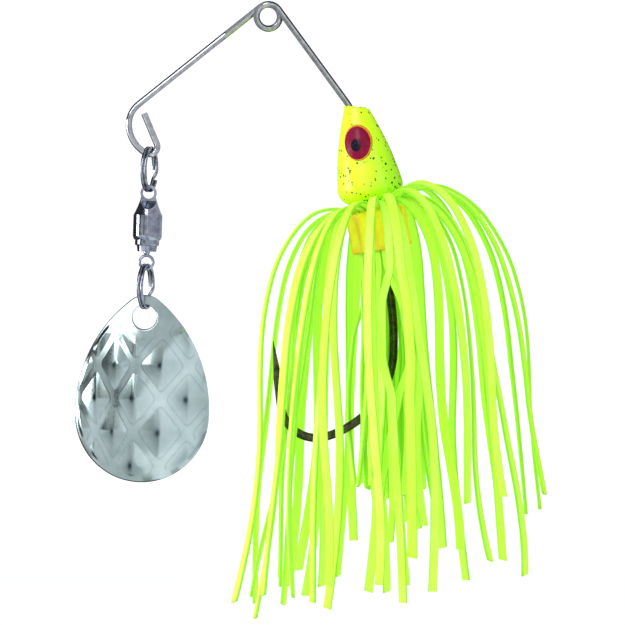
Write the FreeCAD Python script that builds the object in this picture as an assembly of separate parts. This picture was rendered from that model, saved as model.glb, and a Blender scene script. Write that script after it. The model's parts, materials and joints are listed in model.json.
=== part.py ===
import FreeCAD, Part

import math
import os
import random

from FreeCAD import Placement, Rotation, Vector

# Single-blade spinnerbait hanging from its line tie, hook pointing down. Millimetres.
# +Z is up, +X runs from the blade arm towards the head, +Y runs from the left eye to the right eye.
# The origin is the centre of the line-tie coil. Every piece is a separate solid.

X_AXIS = Vector(1, 0, 0)
Y_AXIS = Vector(0, 1, 0)
Z_AXIS = Vector(0, 0, 1)
DOWN = Vector(0, 0, -1)
SLACK = 0.03  # gap between pieces that rest on each other

# ---- wire frame -------------------------------------------------------------------------------
WIRE_R = 0.455
COIL_R = 1.70  # line-tie coil, to the wire's centre
COIL_STEP = 0.98  # sideways shift that lets the coil's turns lie beside each other
LOWER_ARM_SLOPE = 53.8  # below horizontal, towards the head
LOWER_ARM_LENGTH = 15.6
UPPER_ARM_SLOPE = 38.6  # below horizontal, towards the blade
UPPER_ARM_LENGTH = 21.8
LOOP_BENDS = ((3.6, 51.4), (4.6, 62.0), (1.05, 140.6))  # radius and turn of each blade-loop bend
LOOP_RETURN = 4.62
TAIL_SHIFT = 1.15  # the buried end runs beside the hook eye before it turns through it
TAIL_BEND_R = 0.85
TAIL_LENGTH = 1.3

# ---- head, drawn in its own frame: tip at the origin, body along -Z ----------------------------
HEAD_TIP = Vector(12.07, -COIL_STEP / 2, -12.45)
HEAD_TILT = 10.5
TIP_R = 1.5
TIP_SLOPE = 14.0  # the tip is trimmed at a slant, lower on the side away from the hook point
FLANK_R = 3.45  # half-way down the flank
HEAD_R = 4.6
HEAD_WIDEST = 11.2
HEAD_LENGTH = 13.7
BASE_R = 2.9
BASE_ROUND = (4.15, 12.95)  # radius and depth of the rounding between flank and base
NECK_R = 1.9
NECK_END = 21.3

# ---- eyes -------------------------------------------------------------------------------------
EYE_HALF_WIDTH = 1.98
EYE_HALF_HEIGHT = 2.52
EYE_DROP = 5.3
EYE_TURN = 11.0  # the eyes sit a little towards the hook point
EYE_PROUD = 0.28
EYE_RECESS = 0.35

# ---- hook, in the head's frame ----------------------------------------------------------------
HOOK_R = 0.6
HOOK_EYE_DROP = 8.2
HOOK_EYE_R = 1.2
HOOK_EYE_WIRE_R = 0.5
BEND_START = 25.95
BENDS = ((40.4, 13.0), (12.5, 47.1), (13.9, 23.2), (5.0, 100.4))
SPEAR_LENGTH = 4.0
POINT_LENGTH = 5.2
POINT_TIP_R = 0.05
BARB_LENGTH = 1.9
BARB_R = 0.28
BARB_SPREAD = 28.0

# ---- split rings ------------------------------------------------------------------------------
RING_R = 3.0  # to the wire's centre
RING_WIRE_R = 0.225
RING_PITCH = 0.47  # between the two turns
RING_JOG = 30.0  # arc over which the wire steps from one turn to the other
RING_YAW = 14.0  # the rings hang turned a little out of edge-on
LOOP_CLEARANCE = 0.2
HANG_SLACK = 0.05  # between a ring and the rim it hangs on

# ---- ball-bearing swivel ----------------------------------------------------------------------
TIP_HOLE_R = 0.78
TIP_OUTER_R = 1.15
TIP_THICKNESS = 0.9
BARREL_R = 2.05
BARREL_SHOULDER = 3.1  # depths below the tip hole
BARREL_ROUND = 5.95
BARREL_END = 6.6
BARREL_END_R = 1.78
BARREL_BORE_R = 1.62
CAP_R = 1.72
CAP_END_R = 1.33
CAP_END = 8.2
CAP_SPIGOT_R = 1.58
CAP_SPIGOT = 6.15
BALLS = 8
BALL_R = 0.38
BALL_ORBIT_R = 1.08
FLANGE_R = 1.35
FLANGE_TOP = 4.3
NECK_WIRE_R = 0.455
SHAFT_EYE_DROP = 9.7
SHAFT_EYE_R = 0.95
SHAFT_EYE_WIRE_R = 0.2

# ---- blade, drawn around its hole --------------------------------------------------------------
BLADE_HOLE_R = 1.75
BLADE_TOP_R = 3.1
BLADE_FLANK_R = 20.0
BLADE_BELLY_R = 9.4
BLADE_BELLY_DROP = 13.75
BLADE_THICKNESS = 0.5
DISH_ACROSS_R = 16.0
DISH_ALONG_R = 44.0
DISH_DROP = 12.0
CHAIN_LEAN = 1.8  # the swivel and blade hang this far out of plumb

# ---- skirt ------------------------------------------------------------------------------------
COLLAR_BORE_R = 3.42
COLLAR_OUTER_R = 4.4
COLLAR_SIDES = 11
COLLAR_TOP = 14.95
COLLAR_LENGTH = 5.6
TABS = 8
STRANDS_PER_TAB = 5
STRAND_R = 0.29
LAYER_R = (3.04, 2.27)  # strands lie in two layers under the collar
FLARE = 38.0  # the strands leave the collar bent up from its rim by this much
FLARE_EXTRA = 18.0  # more of it on the side away from the hook point, less on the other
FLARE_SHARE = (1.0, 0.35)  # the inner layer has no room to rise below the head's base
FLARE_DEPTH = (14.44, 14.08)  # the inner layer folds out above the outer one
KNEE_R = (0.48, 0.85)
LEAN = 4.5  # free ends still point outwards by this much
FALL_BENDS = 7
LEAST_BEND = 0.2  # degrees; a gentler stretch is straight
SKIRT_SEED = 11


def heading(degrees):
    """Unit vector in the XZ plane, measured from +X towards +Z."""
    a = math.radians(degrees)
    return Vector(math.cos(a), 0, math.sin(a))


def turned(vector, axis, degrees):
    return Rotation(axis, degrees).multVec(vector)


def placed(shape, placement):
    moved = shape.copy()
    moved.Placement = placement.multiply(moved.Placement)
    return moved


def spun(points):
    """Solid turned about Z from a closed profile; each entry is a corner or (mid, corner) arc."""
    edges = []
    at = Vector(points[0][0], 0, points[0][1])
    for entry in points[1:] + points[:1]:
        if isinstance(entry[0], tuple):
            middle = Vector(entry[0][0], 0, entry[0][1])
            end = Vector(entry[1][0], 0, entry[1][1])
            edges.append(Part.Arc(at, middle, end).toShape())
        else:
            end = Vector(entry[0], 0, entry[1])
            edges.append(Part.LineSegment(at, end).toShape())
        at = end
    face = Part.Face(Part.Wire(edges))
    return face.revolve(Vector(), Z_AXIS, 360)


class Route:
    """A tangent chain of straight runs, arcs and blends, built one after another."""

    def __init__(self, start, direction):
        self.point = Vector(start)
        self.direction = Vector(direction).normalize()
        self.edges = []

    def straight(self, length):
        end = self.point + self.direction * length
        self.edges.append(Part.LineSegment(self.point, end).toShape())
        self.point = end
        return self

    def bend(self, radius, degrees, axis):
        """Turn by degrees about an axis square to the direction of travel."""
        centre = self.point + axis.cross(self.direction) * radius
        spoke = self.point - centre
        middle = centre + turned(spoke, axis, degrees / 2)
        end = centre + turned(spoke, axis, degrees)
        self.edges.append(Part.Arc(self.point, middle, end).toShape())
        self.point = end
        self.direction = turned(self.direction, axis, degrees)
        return self

    def blend_to(self, point, direction):
        """One smooth curve to a point, arriving along the given direction."""
        target = Vector(direction).normalize()
        reach = (point - self.point).Length * 0.4
        curve = Part.BezierCurve()
        curve.setPoles([self.point, self.point + self.direction * reach, point - target * reach, point])
        self.edges.append(curve.toShape())
        self.point = Vector(point)
        self.direction = target
        return self

    def bend_to(self, radius, direction):
        """Turn the short way until the travel is along the given direction."""
        target = Vector(direction).normalize()
        axis = self.direction.cross(target).normalize()
        return self.bend(radius, math.degrees(self.direction.getAngle(target)), axis)


def tube(route, start, direction, radius):
    """Round bar of the given radius along a route."""
    section = Part.Wire(Part.Circle(start, direction, radius).toShape())
    return Part.Wire(route.edges).makePipeShell([section], True, False)


def head_frame():
    return Placement(HEAD_TIP, Rotation(Y_AXIS, -HEAD_TILT))


def head_down():
    return turned(DOWN, Y_AXIS, -HEAD_TILT)


# ---- wire frame -------------------------------------------------------------------------------
def coil_start():
    climb = heading(180 - LOWER_ARM_SLOPE)
    return turned(climb, Y_AXIS, 90) * COIL_R + Vector(0, -COIL_STEP / 2, 0), climb


def blade_side_route():
    """Coil, upper arm and blade loop, up to the loop's closing end."""
    start, climb = coil_start()
    around = Vector(0, -1, 0)
    flat_turn = (180 + LOWER_ARM_SLOPE + UPPER_ARM_SLOPE) / 2
    lean = -math.degrees(math.asin(COIL_STEP / (2 * COIL_R)))
    route = Route(start, climb)
    route.bend(COIL_R, flat_turn, around)
    route.bend(COIL_R, 180, turned(around, route.direction, lean))
    route.direction = turned(heading(180 - LOWER_ARM_SLOPE), around, flat_turn + 180)
    route.bend(COIL_R, flat_turn, around)
    route.straight(UPPER_ARM_LENGTH)
    for radius, turn in LOOP_BENDS:
        route.bend(radius, turn, around)
    return route


def wire_frame():
    start, climb = coil_start()
    blade_side = blade_side_route().straight(LOOP_RETURN)
    head_side = Route(start, climb * -1)
    head_side.straight(LOWER_ARM_LENGTH)
    beside = head_frame().multVec(Vector(0, -TAIL_SHIFT, -HOOK_EYE_DROP + TAIL_BEND_R))
    head_side.blend_to(beside, head_down())
    head_side.bend(TAIL_BEND_R, 90, head_down().cross(Y_AXIS))
    head_side.straight(TAIL_LENGTH)
    upper = tube(blade_side, start, climb, WIRE_R)
    lower = tube(head_side, start, climb, WIRE_R)
    return upper.fuse(lower)


# ---- head and eyes ----------------------------------------------------------------------------
def head_solid(growth=0.0):
    """Bullet head with its collar neck; growth moves the whole flank outwards."""
    return spun(
        [
            (0, 0),
            (TIP_R + growth, 0),
            ((FLANK_R + growth, -HEAD_WIDEST / 2), (HEAD_R + growth, -HEAD_WIDEST)),
            ((BASE_ROUND[0] + growth, -BASE_ROUND[1]), (BASE_R, -HEAD_LENGTH)),
            (NECK_R, -HEAD_LENGTH),
            (NECK_R, -NECK_END),
            (0, -NECK_END),
        ]
    )


def eye_oval(side, half_width, half_height):
    """Oval column through one side of the head; side is -1 for left and +1 for right."""
    oval = Part.Ellipse(Vector(), half_height, half_width)
    face = Part.Face(Part.Wire(oval.toShape()))
    face.rotate(Vector(), Z_AXIS, 90)
    face.rotate(Vector(), X_AXIS, 90)
    column = face.extrude(Vector(0, side * 2 * HEAD_R, 0))
    return placed(column, Placement(Vector(0, 0, -EYE_DROP), Rotation(Z_AXIS, side * EYE_TURN)))


def eye(side):
    dome = eye_oval(side, EYE_HALF_WIDTH, EYE_HALF_HEIGHT).common(head_solid(EYE_PROUD))
    return placed(dome.cut(head_solid(-EYE_RECESS)).Solids[0], head_frame())


def lead_head():
    head = placed(head_solid(), head_frame())
    for side in (-1, 1):
        socket = eye_oval(side, EYE_HALF_WIDTH + SLACK, EYE_HALF_HEIGHT + SLACK)
        socket = socket.common(head_solid(1.0)).cut(head_solid(-EYE_RECESS - SLACK))
        head = head.cut(placed(socket, head_frame()))
    slant = Placement(Vector(-TIP_R, 0, 0), Rotation(Y_AXIS, TIP_SLOPE))
    trimmed = Part.makeBox(8, 8, 3, Vector(0, -4, 0))
    head = head.cut(placed(trimmed, head_frame().multiply(slant)))
    return head.cut(wire_frame()).cut(hook())


# ---- hook -------------------------------------------------------------------------------------
def hook():
    eye_ring = Part.makeTorus(HOOK_EYE_R, HOOK_EYE_WIRE_R, Vector(0, 0, -HOOK_EYE_DROP), Y_AXIS)
    top = Vector(0, 0, -HOOK_EYE_DROP - HOOK_EYE_R)
    route = Route(top, DOWN).straight(BEND_START - HOOK_EYE_DROP - HOOK_EYE_R)
    for radius, turn in BENDS:
        route.bend(radius, turn, Y_AXIS)
    route.straight(SPEAR_LENGTH)
    bar = tube(route, top, DOWN, HOOK_R)
    point = Part.makeCone(HOOK_R, POINT_TIP_R, POINT_LENGTH, route.point, route.direction)
    root = route.point - route.direction * BARB_LENGTH * 0.2
    slant = turned(route.direction, Y_AXIS, 180 - BARB_SPREAD)
    barb = Part.makeCone(BARB_R, POINT_TIP_R, BARB_LENGTH, root + route.direction * BARB_LENGTH, slant)
    return placed(bar.fuse(eye_ring).fuse(point).fuse(barb), head_frame())


# ---- split rings, swivel and blade --------------------------------------------------------------
def ring_seat(hole_r, reach):
    """How far off a hole's centre a ring's wire hangs; the hole's wall ends at reach along its axis."""
    spread = RING_PITCH / 2 + reach * math.tan(math.radians(RING_YAW))
    rise = reach**2 / (2 * RING_R)
    return math.sqrt((hole_r - HANG_SLACK - RING_WIRE_R) ** 2 - spread**2) - rise


def loop_bottom():
    """Lowest point of the blade loop, on the wire's centre line."""
    lowest = min(blade_side_route().edges, key=lambda edge: edge.BoundBox.ZMin)
    steps = 400
    span = lowest.LastParameter - lowest.FirstParameter
    points = [lowest.valueAt(lowest.FirstParameter + span * step / steps) for step in range(steps + 1)]
    return min(points, key=lambda point: point.z)


def hanging_frame():
    """Frame of the swivel and blade: origin at the bottom of the blade loop, -Z down the chain."""
    return Placement(loop_bottom(), Rotation(Y_AXIS, CHAIN_LEAN))


def chain():
    """Depths of the hanging pieces' centres, measured down from the bottom of the blade loop."""
    upper_ring = RING_R - WIRE_R - LOOP_CLEARANCE - RING_WIRE_R
    tip_hole = upper_ring + RING_R + ring_seat(TIP_HOLE_R, TIP_THICKNESS / 2)
    shaft_eye = tip_hole + SHAFT_EYE_DROP
    lower_ring = shaft_eye + ring_seat(SHAFT_EYE_R - SHAFT_EYE_WIRE_R, SHAFT_EYE_WIRE_R) + RING_R
    blade_hole = lower_ring + RING_R + ring_seat(BLADE_HOLE_R, BLADE_THICKNESS * 1.6)
    return {
        "upper_ring": upper_ring,
        "tip_hole": tip_hole,
        "shaft_eye": shaft_eye,
        "lower_ring": lower_ring,
        "blade_hole": blade_hole,
    }


def split_ring():
    """Two turns of wire side by side, with the step between them on the far side."""
    start = Vector(-RING_PITCH / 2, RING_R, 0)
    full = 360 - RING_JOG
    route = Route(start, Z_AXIS).bend(RING_R, full, X_AXIS)
    step_end = Vector(RING_PITCH / 2, RING_R, 0)
    route.blend_to(step_end, Z_AXIS)
    route.bend(RING_R, full, X_AXIS)
    ring = tube(route, start, Z_AXIS, RING_WIRE_R)
    return placed(ring, Placement(Vector(), Rotation(Z_AXIS, -RING_YAW)))


def swivel_barrel():
    """Hollow body with a flattened, drilled tip."""
    top = 0.5
    body = spun(
        [
            (0, -top),
            (math.sqrt(TIP_OUTER_R**2 - top**2), -top),
            ((1.45, -1.8), (BARREL_R, -BARREL_SHOULDER)),
            (BARREL_R, -BARREL_ROUND),
            ((BARREL_R - 0.08, -BARREL_ROUND - 0.35), (BARREL_END_R, -BARREL_END)),
            (BARREL_BORE_R, -BARREL_END),
            (BARREL_BORE_R, -FLANGE_TOP + 0.3),
            (0, -FLANGE_TOP + 0.3),
        ]
    )
    half = TIP_THICKNESS / 2
    for side in (-1, 1):
        corners = [(half, 1), (half, -1.1), (BARREL_R + 0.4, -BARREL_SHOULDER), (4, -2), (4, 1)]
        loop = Part.makePolygon([Vector(-4, side * y, z) for y, z in corners + corners[:1]])
        body = body.cut(Part.Face(loop).extrude(X_AXIS * 8))
    tip = Part.makeCylinder(TIP_OUTER_R, TIP_THICKNESS, Vector(0, -half, 0), Y_AXIS)
    bore = Part.makeCylinder(TIP_HOLE_R, 6, Vector(0, -3, 0), Y_AXIS)
    return body.fuse(tip).cut(bore)


def swivel_cap():
    """End cap with a spigot inside the barrel."""
    top = -BARREL_END - SLACK
    hole_r = NECK_WIRE_R + SLACK
    return spun(
        [
            (hole_r, -CAP_SPIGOT),
            (CAP_SPIGOT_R, -CAP_SPIGOT),
            (CAP_SPIGOT_R, top),
            (CAP_R, top),
            (CAP_R, top - 0.55),
            ((CAP_R - 0.1, top - 0.7), (CAP_R - 0.27, top - 0.75)),
            (CAP_END_R, -CAP_END),
            (hole_r, -CAP_END),
        ]
    )


def swivel_balls():
    """Ball race between the shaft's flange and the cap."""
    drop = CAP_SPIGOT - BALL_R - SLACK
    balls = []
    for index in range(BALLS):
        a = 2 * math.pi * index / BALLS
        centre = Vector(BALL_ORBIT_R * math.cos(a), BALL_ORBIT_R * math.sin(a), -drop)
        balls.append(Part.makeSphere(BALL_R, centre))
    return Part.makeCompound(balls)


def swivel_shaft():
    """Flange and neck turned in one, with the eye for the lower split ring."""
    flange_base = CAP_SPIGOT - 2 * BALL_R - 2 * SLACK
    eye_top = SHAFT_EYE_DROP - SHAFT_EYE_R
    turned_part = spun(
        [
            (0, -FLANGE_TOP),
            (FLANGE_R - 0.3, -FLANGE_TOP),
            ((FLANGE_R - 0.08, -FLANGE_TOP - 0.1), (FLANGE_R, -FLANGE_TOP - 0.35)),
            (FLANGE_R, -flange_base),
            (NECK_WIRE_R, -flange_base),
            (NECK_WIRE_R, -CAP_END - 0.2),
            (SHAFT_EYE_WIRE_R, -eye_top),
            (0, -eye_top),
        ]
    )
    eye_centre = Vector(0, 0, -SHAFT_EYE_DROP)
    eye_ring = Part.makeTorus(SHAFT_EYE_R, SHAFT_EYE_WIRE_R, eye_centre, Y_AXIS)
    return turned_part.fuse(eye_ring)


def blade_outline():
    """Teardrop of four tangent arcs around the hole, in the XZ plane."""
    to_top = BLADE_FLANK_R - BLADE_TOP_R
    to_belly = BLADE_FLANK_R - BLADE_BELLY_R
    z = (to_belly**2 - to_top**2 - BLADE_BELLY_DROP**2) / (2 * BLADE_BELLY_DROP)
    centre = Vector(-math.sqrt(to_top**2 - z**2), 0, z)
    belly = Vector(0, 0, -BLADE_BELLY_DROP)
    top_right = (centre * -1).normalize() * BLADE_TOP_R
    low_right = belly + (belly - centre).normalize() * BLADE_BELLY_R
    side_right = centre + ((top_right + low_right) * 0.5 - centre).normalize() * BLADE_FLANK_R
    top_left = Vector(-top_right.x, 0, top_right.z)
    low_left = Vector(-low_right.x, 0, low_right.z)
    side_left = Vector(-side_right.x, 0, side_right.z)
    arcs = [
        Part.Arc(top_left, Vector(0, 0, BLADE_TOP_R), top_right),
        Part.Arc(top_right, side_right, low_right),
        Part.Arc(low_right, belly + DOWN * BLADE_BELLY_R, low_left),
        Part.Arc(low_left, side_left, top_left),
    ]
    return Part.Wire([arc.toShape() for arc in arcs])


def dish_section(offset):
    """Upright arc of the dish, offset outwards, as seen in the plane through its axis."""
    reach = 18.0
    across = DISH_ACROSS_R + offset
    along = DISH_ALONG_R + offset
    sag = along - math.sqrt(along**2 - reach**2)
    return [(across - sag, -reach), (across, 0), (across - sag, reach)]


def blade():
    """Dished plate, convex on the -Y side, bored along Y."""
    outer = dish_section(BLADE_THICKNESS / 2)
    inner = dish_section(-BLADE_THICKNESS / 2)
    shell = spun([outer[0], (outer[1], outer[2]), inner[2], (inner[1], inner[0])])
    sag = DISH_ALONG_R - math.sqrt(DISH_ALONG_R**2 - DISH_DROP**2)
    shell.translate(Vector(0, DISH_ACROSS_R - sag, -DISH_DROP))
    outline = Part.Face(blade_outline())
    outline.translate(Vector(0, -5, 0))
    plate = outline.extrude(Vector(0, 12, 0)).common(shell)
    plate = plate.cut(Part.makeCylinder(BLADE_HOLE_R, 20, Vector(0, -10, 0), Y_AXIS))
    return min(plate.Solids, key=lambda solid: solid.CenterOfMass.y)


# ---- skirt ------------------------------------------------------------------------------------
def skirt_collar():
    """Elastic band with flat sides where it stretches over the strands."""
    corners = []
    for index in range(COLLAR_SIDES + 1):
        a = 2 * math.pi * index / COLLAR_SIDES
        corners.append(Vector(math.cos(a), math.sin(a), 0) * COLLAR_OUTER_R)
    band = Part.Face(Part.makePolygon(corners)).extrude(Vector(0, 0, -COLLAR_LENGTH))
    band = band.makeFillet(0.5, [edge for edge in band.Edges if abs(edge.tangentAt(0).z) > 0.9])
    band = band.cut(Part.makeCylinder(COLLAR_BORE_R, COLLAR_LENGTH * 3, Vector(0, 0, -COLLAR_LENGTH * 2)))
    return placed(band, head_frame().multiply(Placement(Vector(0, 0, -COLLAR_TOP), Rotation())))


def fall(route, settle, length):
    """Limp strand: it bends over ever more gently until it hangs with a slight outward lean."""
    side = route.direction.cross(DOWN).normalize()
    to_rest = math.degrees(route.direction.getAngle(DOWN)) - LEAN
    done = 0.0
    for index in range(FALL_BENDS):
        along = length * ((index + 1) / FALL_BENDS) ** 1.6
        span = along - done
        turn = to_rest * (math.exp(-done / settle) - math.exp(-along / settle))
        if turn < LEAST_BEND:
            route.straight(span)
        else:
            route.bend(span / math.radians(turn), turn, side)
        done = along
    return route


def inner_half(start, direction, spread, way, length):
    """Half strand that leaves the collar's lower end and hangs around the hook shank."""
    route = Route(start, direction)
    slant = DOWN + way * spread * 0.08 + Vector(head_down().x * 0.7, 0, 0)
    route.bend_to(9.0, slant)
    route.straight(length * 0.25)
    route.bend_to(60.0, DOWN + way * 0.03)
    return route.straight(length * 0.5)


def outer_half(start, direction, out, layer, flare, settle, length):
    """Half strand that runs up under the collar, folds out over its rim and falls outside."""
    run = COLLAR_TOP + COLLAR_LENGTH - FLARE_DEPTH[layer] - KNEE_R[layer]
    route = Route(start, direction).straight(run)
    route.bend(KNEE_R[layer], 90 - flare, direction.cross(out))
    return fall(route, settle, length)


def strand(index, chance):
    """One strand of the skirt, held in the middle by the collar."""
    turn = 360 / (TABS * STRANDS_PER_TAB) * (index + 0.5)
    layer = index % 2
    out = turned(X_AXIS, Z_AXIS, turn)
    rightness = math.cos(math.radians(turn))
    start = head_frame().multVec(out * LAYER_R[layer] + DOWN * (COLLAR_TOP + COLLAR_LENGTH))
    side = 90 if turn < 180 else 270
    way = turned(X_AXIS, Z_AXIS, side + (turn - side) * 0.5)

    in_line_with_gape = abs(turn - 180) < 10
    shares = ((0.8, 1.06), (0.45, 0.75))[0 if in_line_with_gape else layer]
    settle = (9.0 + 1.5 * rightness) * chance.uniform(*shares)
    outer_length = 58.5 - 1.0 * rightness + chance.uniform(-4.0, 2.5)
    inner_length = chance.uniform(32.0, 35.5)
    spread = chance.uniform(*((1.4, 2.1), (0.7, 1.0))[layer])
    flare = (FLARE + FLARE_EXTRA * rightness) * FLARE_SHARE[layer]

    low = inner_half(start, head_down(), spread, way, inner_length)
    out = turned(out, Y_AXIS, -HEAD_TILT)
    high = outer_half(start, head_down() * -1, out, layer, flare, settle, outer_length)
    low_tube = tube(low, start, head_down(), STRAND_R)
    return low_tube.fuse(tube(high, start, head_down(), STRAND_R))


def skirt_tabs():
    chance = random.Random(SKIRT_SEED)
    strands = [strand(index, chance) for index in range(TABS * STRANDS_PER_TAB)]
    tabs = {}
    for tab in range(TABS):
        first = tab * STRANDS_PER_TAB
        tabs["skirt_tab_" + str(tab + 1)] = Part.makeCompound(strands[first : first + STRANDS_PER_TAB])
    return tabs


def hanging_nodes():
    """The rings, swivel and blade, each built around its own hole and hung at its depth."""
    depth = chain()
    pieces = {
        "upper_split_ring": (split_ring(), "upper_ring"),
        "swivel_barrel": (swivel_barrel(), "tip_hole"),
        "swivel_cap": (swivel_cap(), "tip_hole"),
        "swivel_balls": (swivel_balls(), "tip_hole"),
        "swivel_shaft": (swivel_shaft(), "tip_hole"),
        "lower_split_ring": (split_ring(), "lower_ring"),
        "blade": (blade(), "blade_hole"),
    }
    nodes = {}
    for name, (shape, level) in pieces.items():
        hung = hanging_frame().multiply(Placement(DOWN * depth[level], Rotation()))
        nodes[name] = placed(shape, hung)
    return nodes


def build():
    nodes = {
        "wire_frame": wire_frame(),
        "lead_head": lead_head(),
        "left_eye": eye(-1),
        "right_eye": eye(1),
        "hook": hook(),
        "skirt_collar": skirt_collar(),
    }
    nodes.update(hanging_nodes())
    nodes.update(skirt_tabs())
    return nodes


os.makedirs("parts", exist_ok=True)
for name, shape in build().items():
    shape.exportStep("parts/" + name + ".step")
    print(name, shape.isValid(), len(shape.Solids), round(shape.Volume, 3))
print("loop bottom", [round(value, 4) for value in loop_bottom()])
for name, drop in chain().items():
    at = hanging_frame().multVec(DOWN * drop)
    print(name, round(drop, 3), [round(value, 4) for value in at])
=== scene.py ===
import json
import math
import random

import bpy
from mathutils import Matrix, Vector, noise


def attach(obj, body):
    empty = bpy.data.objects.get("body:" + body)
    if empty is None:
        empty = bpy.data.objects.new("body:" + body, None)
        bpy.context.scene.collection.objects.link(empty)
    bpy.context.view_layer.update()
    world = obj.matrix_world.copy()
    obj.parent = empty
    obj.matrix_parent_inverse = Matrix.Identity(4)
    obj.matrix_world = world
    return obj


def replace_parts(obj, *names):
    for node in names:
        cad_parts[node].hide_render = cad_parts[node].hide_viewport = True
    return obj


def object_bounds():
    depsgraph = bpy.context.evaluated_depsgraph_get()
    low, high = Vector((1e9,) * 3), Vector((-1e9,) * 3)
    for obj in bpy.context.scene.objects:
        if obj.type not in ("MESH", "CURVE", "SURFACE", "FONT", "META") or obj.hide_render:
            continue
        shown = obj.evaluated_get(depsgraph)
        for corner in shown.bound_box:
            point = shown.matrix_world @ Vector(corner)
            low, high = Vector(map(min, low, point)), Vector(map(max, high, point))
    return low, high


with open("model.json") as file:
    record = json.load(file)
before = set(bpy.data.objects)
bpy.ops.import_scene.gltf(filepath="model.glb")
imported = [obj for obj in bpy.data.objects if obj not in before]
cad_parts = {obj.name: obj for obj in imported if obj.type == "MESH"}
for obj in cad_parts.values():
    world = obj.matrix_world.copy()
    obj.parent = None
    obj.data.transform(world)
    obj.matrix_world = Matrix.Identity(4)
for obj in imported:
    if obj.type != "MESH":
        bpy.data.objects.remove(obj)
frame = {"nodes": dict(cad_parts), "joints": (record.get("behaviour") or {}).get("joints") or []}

CAD_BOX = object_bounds()
NOISE_SEED = 40
noise.seed_set(NOISE_SEED)  # vector noise is offset by a random amount unless it's seeded

# Lengths are millimetres and are scaled on their way into a mesh; the studio's are metres. The frame is the
# line tie's: X to the right as the camera sees it, Y away from the camera, Z up.
MM = 0.001
DOWN = Vector((0, 0, -1))

# ---- head frame: tip at its origin, body along -Z ------------------------------------------------
HEAD_TIP = Vector((12.07, -0.49, -12.45))
HEAD_TILT = math.radians(10.5)
TIP_R = 1.5
TIP_SLOPE = math.radians(14.0)
FLANK_R = 3.45
HEAD_R = 4.6
HEAD_WIDEST = 11.2
PAINTED_SHADE_SIDE = (13.6, 17.0)  # across the lure: painted shade turns the yellow paint green between these
WIRE_R = 0.455
WIRE_ENTRY = Vector((-0.74, 0.0, 0.0))  # where the wire leaves the flat of the tip
ARM_LEAN = math.radians(36.2)  # of the wire arm that leaves the tip

# ---- lip of paint round the flat of the tip ------------------------------------------------------
LIP_PROFILE = (
    (1.54, -0.28), (1.60, -0.02), (1.52, 0.13), (1.36, 0.16), (1.16, 0.05), (0.9, 0.07), (0.6, 0.3),
)  # radius and height, from the outer edge to the wire
LIP_AROUND = 96
LIP_LUMPS = ((2.7, 0.16), (8.0, 0.06))  # how fine and how high
LIP_BLEND = (0.5, 1.3)  # radii between which the lip leaves the wire
LIP_ON_WIRE = 0.94  # its inner edge lies this share of the wire's radius from the wire's axis
LIP_SPREAD = 0.6  # and opens at this slope
LIP_OVAL = 1.2  # the slanting wire makes it this much longer than wide

# ---- eyes ----------------------------------------------------------------------------------------
EYE_HALF = (1.98, 2.52)
PUPIL_HALF = (0.72, 0.88)
PUPIL_SHIFT = (-0.22, -0.32)
EYE_DROP = 5.3
EYE_TURN = math.radians(11.0)
EYE_EDGE = 0.26  # how far the rim stands proud of the head
EYE_CROWN = 0.34  # and how much further the middle does
PUPIL_RISE = 0.05
RIM_SUNK = 0.25
RIM_STARTS = 0.93  # share of the way from the pupil to the edge
EYE_AROUND = 72
PUPIL_RINGS = 7
IRIS_RINGS = 18
IRIS, PUPIL, RIM = 0, 1, 2  # places of the eye's materials in its list

# ---- collar --------------------------------------------------------------------------------------
COLLAR_TOP = 14.95
COLLAR_LENGTH = 5.6
COLLAR_BORE_R = 3.42
COLLAR_OUTER_R = 4.4
COLLAR_SIDES = 11
COLLAR_SIDE_STEPS = 12
COLLAR_WALL_STEPS = 12
COLLAR_LIP = ((0.0, 0.25), (0.0, 0.1), (0.12, 0.02), (0.45, 0.0), (0.8, 0.04), (0.94, 0.12), (1.0, 0.3))
COLLAR_CORNER_CUT = 0.988  # the corners are rounded to this share of the outer radius
COLLAR_WAIST = 0.10
COLLAR_RIPPLE = 0.12
COLLAR_SAG = 0.15

# ---- skirt ---------------------------------------------------------------------------------------
TABS = 8
STRANDS_PER_TAB = 5
STRANDS = TABS * STRANDS_PER_TAB
LAYER_R = (3.04, 2.27)
FLARE = 38.0
FLARE_EXTRA = 18.0
FLARE_SHARE = (1.0, 0.35)
FLARE_DEPTH = (14.44, 14.08)
KNEE_R = (0.48, 0.85)
LEAN = 4.5
FALL_BENDS = 7
LEAST_BEND = 0.2  # degrees
FALL_SPACING = 1.6  # the falling bends get longer by this power
SETTLE = (9.0, 1.5)  # how soon a strand hangs, and how much later at the right
SETTLE_SHARES = ((0.8, 1.06), (0.45, 0.75))  # for each layer
OUTER_LENGTH = (58.5, -1.0)  # beyond the knee, and how much more at the right
OUTER_UNEVEN = (-4.0, 2.5)
INNER_LENGTH = (32.0, 35.5)
INNER_SPREAD = ((1.4, 2.1), (0.7, 1.0))  # for each layer
INNER_BENDS = (9.0, 60.0)  # radii of its two bends
INNER_LEANS = (0.08, 0.03)  # slopes outwards after each bend
INNER_TILT = 0.7  # share of the head's tilt that is left after the first bend
INNER_RUNS = (0.25, 0.5)  # straight shares of its length after each bend
GAPE_STRANDS = 10.0  # degrees either side of the gape in which a strand hangs like the outer layer
SKIRT_SEED = 11
LOOKS_SEED = 30
STRAND_STEP = 0.9  # between sections along a strand
STRAND_WIDTH = (1.05, 1.4)
HELD_WIDTH = (0.86, 0.62)  # each layer's width under the collar
STRAND_THICKNESS = 0.5
SECTION = (
    (0.5, 0.2), (0.4, 0.5), (-0.4, 0.5), (-0.5, 0.2),
    (-0.5, -0.2), (-0.4, -0.5), (0.4, -0.5), (0.5, -0.2),
)  # across and through, as shares of the width and thickness
SECTION_EDGE = 0.45  # beyond this share the material's edge colour starts
STRAND_TWIST = 50.0  # degrees either way
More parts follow.
